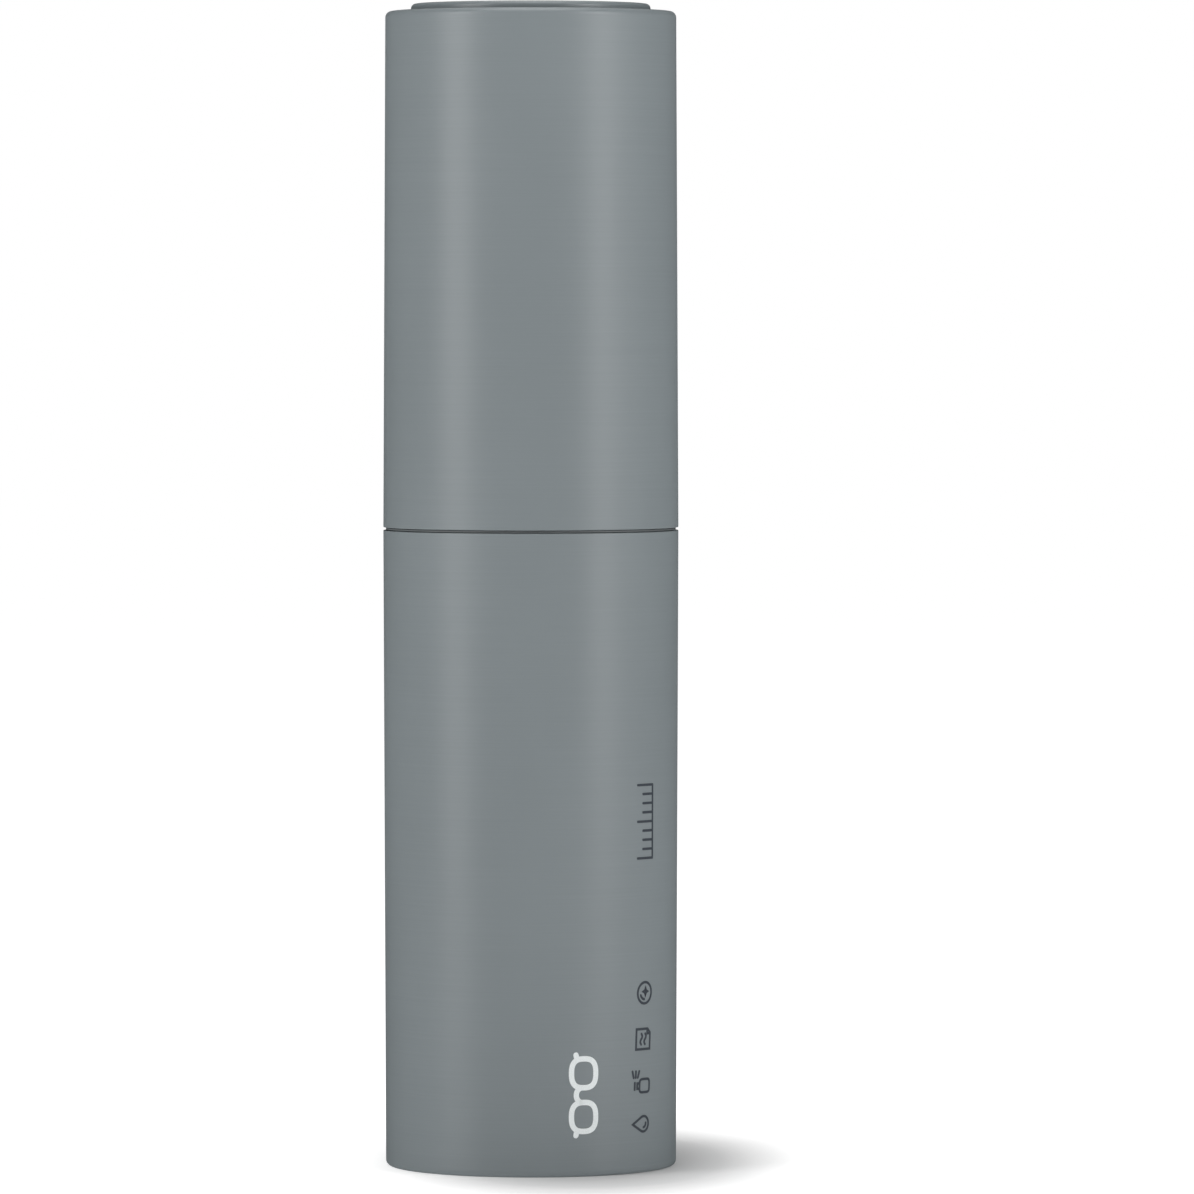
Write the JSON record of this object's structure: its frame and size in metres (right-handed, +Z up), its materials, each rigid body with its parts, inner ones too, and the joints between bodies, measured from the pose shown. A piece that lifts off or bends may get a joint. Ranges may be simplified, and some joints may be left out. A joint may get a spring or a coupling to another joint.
{
  "type": "lens cleaning spray",
  "caption": "Slim twist-up pocket atomiser for lens cleaner, stored closed: two tapered matte grey metal casings meet at a seam, with the spray head flush in the top.",
  "frame": {"origin": "centre of the foot's standing plane, on the spray's axis", "axes": "+Z up along the spray's axis, the nozzle faces -Y"},
  "size_m": [0.028, 0.028, 0.1102],
  "materials": {
    "casing_grey": "matte grey anodised or lacquered",
    "dark_plastic": "fine matte moulding",
    "white_plastic": "satin moulding",
    "clear_plastic": "translucent natural polyolefin",
    "seal_rubber": "matte elastomer",
    "vial_glass": "clear moulded glass",
    "fluid": "clear faintly blue liquid",
    "steel": "bright drawn stainless wire and ball"
  },
  "bodies": {
    "base": {"lower_casing": "casing_grey", "base_liner": "dark_plastic", "vial_cushion": "seal_rubber", "guide_tube": "dark_plastic"},
    "sleeve": {"upper_casing": "casing_grey", "helix_sleeve": "white_plastic"},
    "carriage": {"carrier_collar": "white_plastic", "glass_vial": "vial_glass", "cleaning_fluid": "fluid", "neck_gasket": "seal_rubber", "pump_housing": "clear_plastic", "stem_gland": "white_plastic", "dip_tube": "clear_plastic", "return_spring": "steel"},
    "head": {"actuator_shell": "casing_grey", "actuator_core": "white_plastic", "nozzle_insert": "dark_plastic", "pump_stem": "white_plastic"},
    "pump_piston": {"piston": "white_plastic"},
    "check_ball": {"inlet_ball": "steel"}
  },
  "joints": [
    {"name": "sleeve_twist", "type": "hinge", "parent": "base", "child": "sleeve", "pos_m": [0, 0, 0], "axis": [0, 0, -1], "range_deg": [0, 180]},
    {"name": "carriage_lift", "type": "slide", "parent": "base", "child": "carriage", "axis": [0, 0, 1], "range_m": [0, 0.012]},
    {"name": "spray_press", "type": "slide", "parent": "carriage", "child": "head", "axis": [0, 0, -1], "range_m": [0, 0.0035], "stiffness_N_per_m": 1200, "springref_m": -0.003, "deforming": ["return_spring"]},
    {"name": "piston_lost_motion", "type": "slide", "parent": "head", "child": "pump_piston", "axis": [0, 0, 1], "range_m": [0, 0.0006]},
    {"name": "ball_lift", "type": "slide", "parent": "carriage", "child": "check_ball", "axis": [0, 0, 1], "range_m": [0, 0.0008]}
  ],
  "couplings": [
    {"joint": "carriage_lift", "follows": "sleeve_twist", "m_per_rad": 0.0038197}
  ]
}
